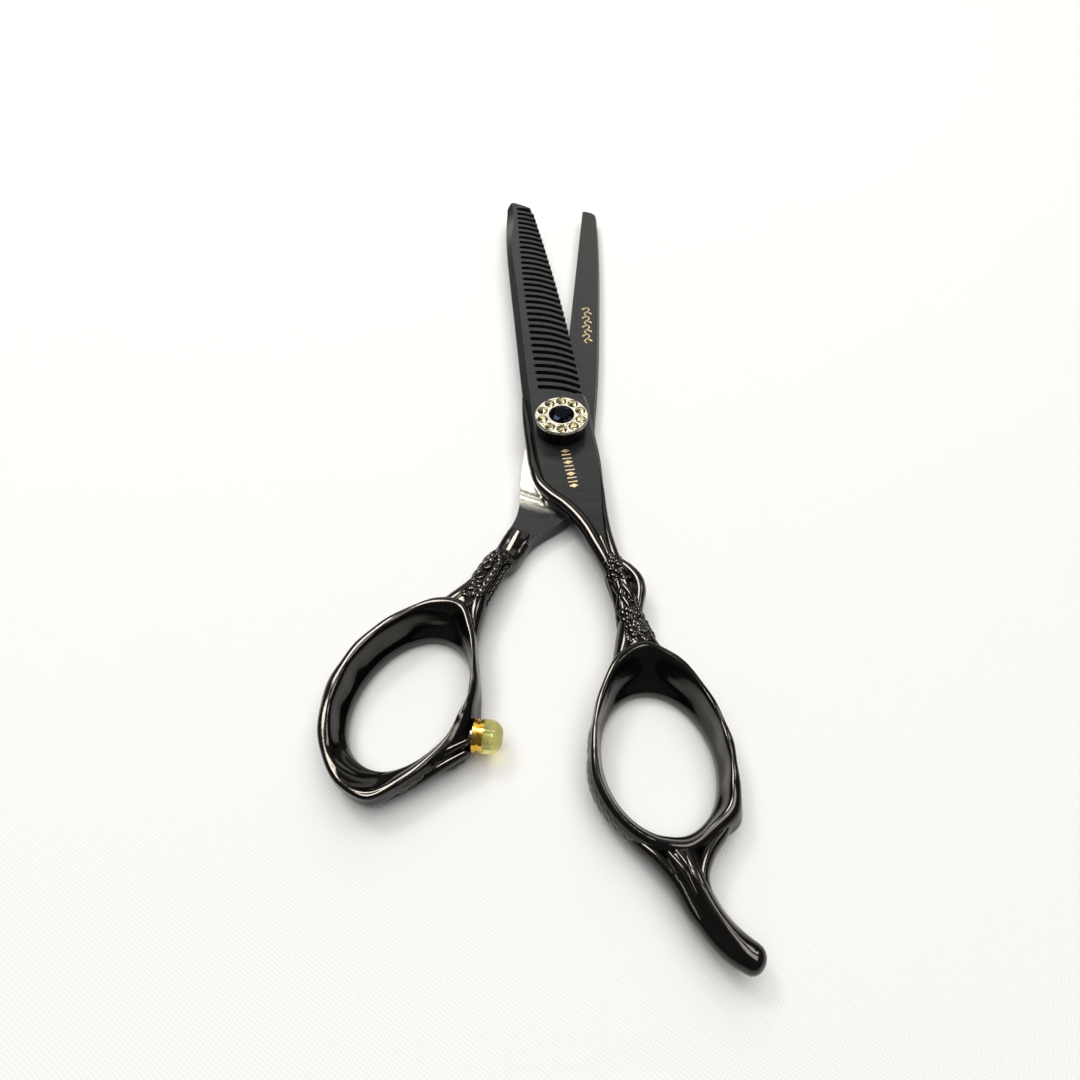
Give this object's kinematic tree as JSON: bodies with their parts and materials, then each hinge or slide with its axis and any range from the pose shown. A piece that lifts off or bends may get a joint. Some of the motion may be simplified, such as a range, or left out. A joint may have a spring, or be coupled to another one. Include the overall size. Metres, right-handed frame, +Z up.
{
  "type": "thinning shears",
  "caption": "Hairdressing thinning shears with a comb blade, a straight blade, ornate ring handles, a finger rest, a rubber bumper and a stone-set tension dial.",
  "frame": {"origin": "on the pivot's axis, on the underside of the pivot screw's head, which is the plane the shears lie on", "axes": "+Y from the pivot towards the tips, along the line midway between the open blades; +Z up through the tension dial; +X to the right with the tips pointing away, the side of the ring with the finger rest"},
  "size_m": [0.0598, 0.17, 0.0102],
  "materials": {
    "coated_steel": "satin charcoal-black coating on ground stainless steel",
    "glossy_black_handle": "glossy black coating on cast stainless steel",
    "screw_steel": "turned stainless steel",
    "bush_bronze": "plain sintered bronze",
    "washer_plastic": "off-white low-friction plastic",
    "spring_steel": "spring steel",
    "dial_black": "black coated knurled steel",
    "bezel_plate": "bright nickel plate",
    "black_stone": "black faceted glass",
    "pale_crystal": "pale champagne faceted glass",
    "gilt_brass": "gilt turned brass",
    "yellow_cap": "clear yellow soft plastic"
  },
  "bodies": {
    "finger_half": {"comb_blade": "coated_steel", "finger_handle": "glossy_black_handle", "pivot_bush": "bush_bronze"},
    "thumb_half": {"straight_blade": "coated_steel", "thumb_handle": "glossy_black_handle", "pivot_screw": "screw_steel", "thrust_washer": "washer_plastic", "slide_washer": "washer_plastic", "tension_spring": "spring_steel", "click_plate": "spring_steel", "bumper_stud": "screw_steel", "bumper_collar": "gilt_brass", "bumper_cap": "yellow_cap"},
    "tension_dial": {"dial_body": "dial_black", "dial_bezel": "bezel_plate", "centre_stone": "black_stone", "crystal_01": "pale_crystal", "crystal_02": "pale_crystal", "crystal_03": "pale_crystal", "crystal_04": "pale_crystal", "crystal_05": "pale_crystal", "crystal_06": "pale_crystal", "crystal_07": "pale_crystal", "crystal_08": "pale_crystal", "crystal_09": "pale_crystal", "crystal_10": "pale_crystal"}
  },
  "joints": [
    {"name": "blade_pivot", "type": "hinge", "parent": "finger_half", "child": "thumb_half", "pos_m": [0, 0, 0.00353], "axis": [0, 0, -1], "range_deg": [-11.2, 130]},
    {"name": "dial_turn", "type": "hinge", "parent": "thumb_half", "child": "tension_dial", "pos_m": [0, 0, 0.0082], "axis": [0, 0, 1], "range_deg": [-180, 180]}
  ]
}
